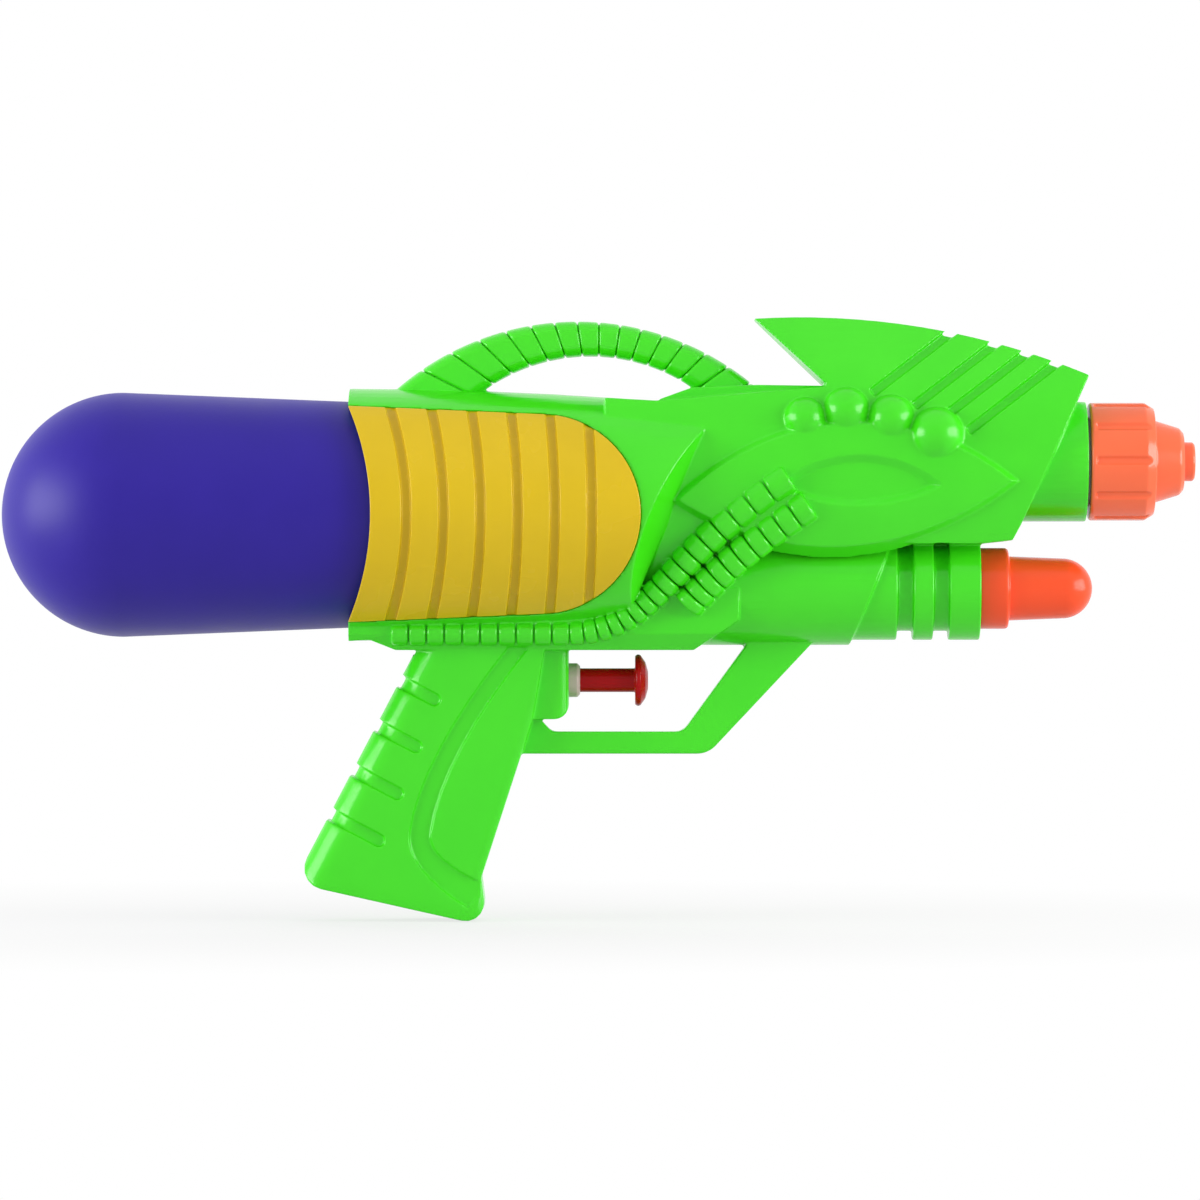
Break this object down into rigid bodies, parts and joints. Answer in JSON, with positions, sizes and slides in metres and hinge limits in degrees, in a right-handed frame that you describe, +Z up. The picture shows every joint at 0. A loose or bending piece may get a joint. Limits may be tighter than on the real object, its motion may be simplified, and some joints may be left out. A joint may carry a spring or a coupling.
{
  "type": "water squirter",
  "caption": "Hand-held toy water squirter: rear screw-in tank, split moulded housing with grip and carry handle, sprung push trigger with a valve pump, screw-on jet nozzle.",
  "frame": {"origin": "in the middle of the grip at the height of the trigger finger's knuckle, on the parting plane of the two housing halves", "axes": "+X forward towards the nozzle, +Y to the squirter's left, +Z up"},
  "size_m": [0.3302, 0.071, 0.1665],
  "materials": {
    "shell_green": "glossy moulded polystyrene, bright green",
    "panel_yellow": "glossy moulded plastic, mustard yellow",
    "tank_purple": "satin blow-moulded polyethylene, dark purple",
    "nozzle_orange": "glossy moulded plastic, orange",
    "trigger_red": "glossy moulded plastic, dark red",
    "gland_white": "natural milky polyethylene",
    "inner_white": "natural white moulded plastic",
    "hose_clear": "clear soft tube",
    "seal_grey": "soft dark grey rubber",
    "steel": "bright plated steel"
  },
  "bodies": {
    "housing": {"right_shell": "shell_green", "left_shell": "shell_green", "right_panel": "panel_yellow", "left_panel": "panel_yellow", "case_screws": "steel", "tank_socket": "inner_white", "dip_tube": "hose_clear", "suction_hose": "hose_clear", "pump_body": "inner_white", "pump_gland": "gland_white", "inlet_fitting": "inner_white", "outlet_fitting": "inner_white", "return_spring": "steel", "delivery_hose": "hose_clear", "nozzle_pipe": "inner_white", "muzzle_plug": "nozzle_orange"},
    "trigger": {"trigger_plunger": "trigger_red", "piston_seal": "seal_grey"},
    "tank_seat": {"tank_washer": "seal_grey"},
    "tank": {"tank": "tank_purple"},
    "jet": {"nozzle_tip": "nozzle_orange", "nozzle_washer": "seal_grey"},
    "nozzle_cap": {"nozzle_cap": "nozzle_orange"},
    "inlet_ball": {"inlet_ball": "steel"},
    "outlet_ball": {"outlet_ball": "steel"}
  },
  "joints": [
    {"name": "trigger_pull", "type": "slide", "parent": "housing", "child": "trigger", "axis": [-1, 0, 0], "range_m": [0, 0.013], "stiffness_N_per_m": 300, "springref_m": -0.008, "deforming": ["return_spring"]},
    {"name": "tank_advance", "type": "slide", "parent": "housing", "child": "tank_seat", "axis": [-1, 0, 0], "range_m": [0, 0.008]},
    {"name": "tank_turn", "type": "hinge", "parent": "tank_seat", "child": "tank", "pos_m": [0, 0, 0.0665], "axis": [-1, 0, 0], "range_deg": [0, 720]},
    {"name": "nozzle_advance", "type": "slide", "parent": "housing", "child": "jet", "axis": [1, 0, 0], "range_m": [0, 0.0075]},
    {"name": "nozzle_turn", "type": "hinge", "parent": "jet", "child": "nozzle_cap", "pos_m": [0.19, 0, 0.0812], "axis": [1, 0, 0], "range_deg": [0, 900]},
    {"name": "inlet_valve_lift", "type": "slide", "parent": "housing", "child": "inlet_ball", "axis": [0, 0, 1], "range_m": [0, 0.0009]},
    {"name": "outlet_valve_lift", "type": "slide", "parent": "housing", "child": "outlet_ball", "axis": [0.7071, 0, 0.7071], "range_m": [0, 0.0009]}
  ],
  "couplings": [
    {"joint": "tank_advance", "follows": "tank_turn", "m_per_rad": 0.00063662},
    {"joint": "nozzle_advance", "follows": "nozzle_turn", "m_per_rad": 0.00047746}
  ]
}
